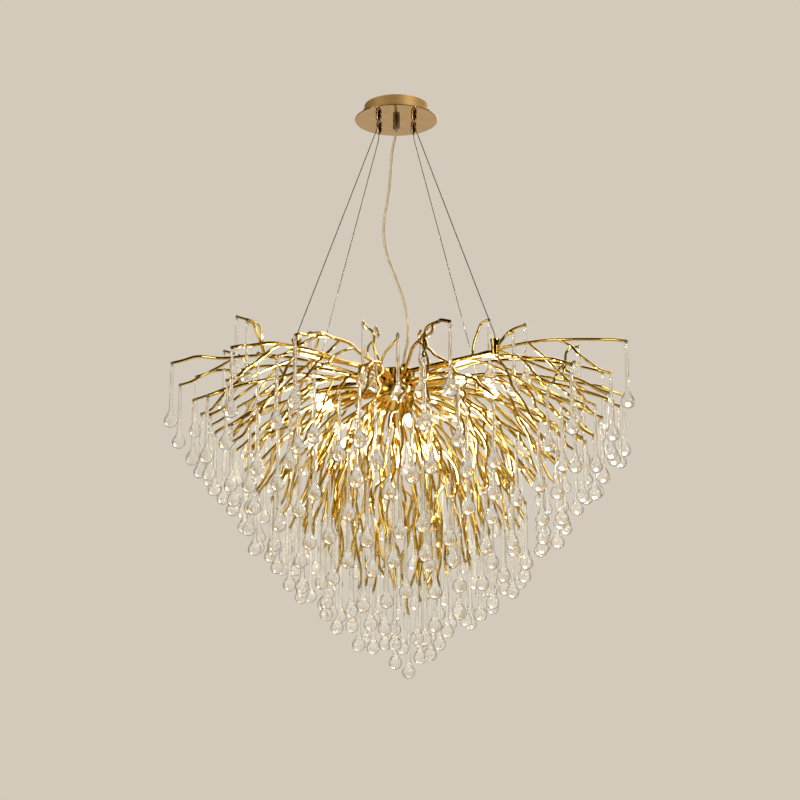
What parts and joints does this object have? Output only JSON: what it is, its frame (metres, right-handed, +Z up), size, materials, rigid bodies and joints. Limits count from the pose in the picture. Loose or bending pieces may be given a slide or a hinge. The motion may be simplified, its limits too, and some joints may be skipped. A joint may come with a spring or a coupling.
{
  "type": "branch chandelier",
  "caption": "Ceiling chandelier of polished gold branches with clear glass drops, hung on steel cables from a round canopy.",
  "frame": {"origin": "on the ceiling at the middle of the canopy's crossbar", "axes": "+Z up to the ceiling, +X to the viewer's right, +Y away from the viewer; everything hangs below the origin"},
  "size_m": [0.9644, 0.9613, 1.2231],
  "materials": {
    "gold": "polished gold plate",
    "satin_gold": "satin gold plate",
    "mirror_gold": "mirror-polished gold plate",
    "chrome": "bright nickel plate",
    "zinc_steel": "zinc plate",
    "cable_steel": "stranded",
    "white_nylon": "matt",
    "clear_nylon": "gloss",
    "ivory_cord": "gloss",
    "lamp_glass": "frosted",
    "clear_glass": "clear polished"
  },
  "bodies": {
    "canopy": {"ceiling_crossbar": "zinc_steel", "canopy_pan": "satin_gold", "canopy_plate": "mirror_gold", "pan_screws": "chrome", "terminal_block": "white_nylon", "gripper_bodies": "chrome", "gripper_nuts": "chrome", "cord_grip": "clear_nylon", "cord_grip_nut": "chrome", "suspension_cable_1": "cable_steel", "suspension_cable_2": "cable_steel", "suspension_cable_3": "cable_steel", "suspension_cable_4": "cable_steel", "power_cord": "ivory_cord"},
    "frame": {"hub_ball": "gold", "hub_cap": "gold", "hub_bolt": "gold", "cord_gland": "gold", "main_arms": "gold", "suspension_posts": "gold", "cable_stops": "cable_steel", "lamp_tubes": "gold", "lamp_holders": "gold", "lamps": "lamp_glass", "branches_tier_1": "gold", "branches_tier_2": "gold", "branches_tier_3": "gold", "branches_tier_4": "gold", "branches_tier_5": "gold", "branches_tier_6": "gold", "branches_tier_7": "gold", "branches_tier_8": "gold", "rings_tiers_1_2": "gold", "rings_tiers_3_4": "gold", "rings_tiers_5_6": "gold", "rings_tiers_7_8": "gold", "drops_tier_1": "clear_glass", "drops_tier_2": "clear_glass", "drops_tier_3": "clear_glass", "drops_tier_4": "clear_glass", "drops_tier_5": "clear_glass", "drops_tier_6": "clear_glass", "drops_tier_7": "clear_glass", "drops_tier_8": "clear_glass"},
    "plunger_1": {"gripper_plunger_1": "chrome"},
    "plunger_2": {"gripper_plunger_2": "chrome"},
    "plunger_3": {"gripper_plunger_3": "chrome"},
    "plunger_4": {"gripper_plunger_4": "chrome"},
    "rim_drop_1": {"rim_drop_1": "clear_glass"},
    "rim_drop_2": {"rim_drop_2": "clear_glass"},
    "rim_drop_3": {"rim_drop_3": "clear_glass"},
    "rim_drop_4": {"rim_drop_4": "clear_glass"},
    "rim_drop_5": {"rim_drop_5": "clear_glass"},
    "rim_drop_6": {"rim_drop_6": "clear_glass"},
    "rim_drop_7": {"rim_drop_7": "clear_glass"},
    "rim_drop_8": {"rim_drop_8": "clear_glass"}
  },
  "joints": [
    {"name": "frame_height", "type": "slide", "parent": "canopy", "child": "frame", "axis": [0, 0, 1], "range_m": [0, 0.2], "deforming": ["suspension_cable_1", "suspension_cable_2", "suspension_cable_3", "suspension_cable_4", "power_cord"]},
    {"name": "plunger_press_1", "type": "slide", "parent": "canopy", "child": "plunger_1", "axis": [0, 0, 1], "range_m": [0, 0.003], "stiffness_N_per_m": 700, "springref_m": -0.002},
    {"name": "plunger_press_2", "type": "slide", "parent": "canopy", "child": "plunger_2", "axis": [0, 0, 1], "range_m": [0, 0.003], "stiffness_N_per_m": 700, "springref_m": -0.002},
    {"name": "plunger_press_3", "type": "slide", "parent": "canopy", "child": "plunger_3", "axis": [0, 0, 1], "range_m": [0, 0.003], "stiffness_N_per_m": 700, "springref_m": -0.002},
    {"name": "plunger_press_4", "type": "slide", "parent": "canopy", "child": "plunger_4", "axis": [0, 0, 1], "range_m": [0, 0.003], "stiffness_N_per_m": 700, "springref_m": -0.002},
    {"name": "rim_drop_swing_1", "type": "hinge", "parent": "frame", "child": "rim_drop_1", "pos_m": [-0.35251, 0.29004, -0.62218], "axis": [0.6354, 0.7722, 0], "range_deg": [-5, 30]},
    {"name": "rim_drop_swing_2", "type": "hinge", "parent": "frame", "child": "rim_drop_2", "pos_m": [0.09438, -0.47027, -0.59031], "axis": [-0.9804, -0.1968, 0], "range_deg": [-5, 30]},
    {"name": "rim_drop_swing_3", "type": "hinge", "parent": "frame", "child": "rim_drop_3", "pos_m": [0.27923, 0.40227, -0.61969], "axis": [0.8215, -0.5702, 0], "range_deg": [-5, 30]},
    {"name": "rim_drop_swing_4", "type": "hinge", "parent": "frame", "child": "rim_drop_4", "pos_m": [-0.45183, -0.1191, -0.59989], "axis": [-0.2549, 0.967, 0], "range_deg": [-5, 30]},
    {"name": "rim_drop_swing_5", "type": "hinge", "parent": "frame", "child": "rim_drop_5", "pos_m": [0.44485, -0.22796, -0.57645], "axis": [-0.4561, -0.89, 0], "range_deg": [-5, 30]},
    {"name": "rim_drop_swing_6", "type": "hinge", "parent": "frame", "child": "rim_drop_6", "pos_m": [-0.14541, 0.46396, -0.61163], "axis": [0.9542, 0.2991, 0], "range_deg": [-5, 30]},
    {"name": "rim_drop_swing_7", "type": "hinge", "parent": "frame", "child": "rim_drop_7", "pos_m": [-0.17421, -0.45457, -0.61121], "axis": [-0.9338, 0.3579, 0], "range_deg": [-5, 30]},
    {"name": "rim_drop_swing_8", "type": "hinge", "parent": "frame", "child": "rim_drop_8", "pos_m": [0.47204, 0.2071, -0.56256], "axis": [0.4018, -0.9157, 0], "range_deg": [-5, 30]}
  ]
}
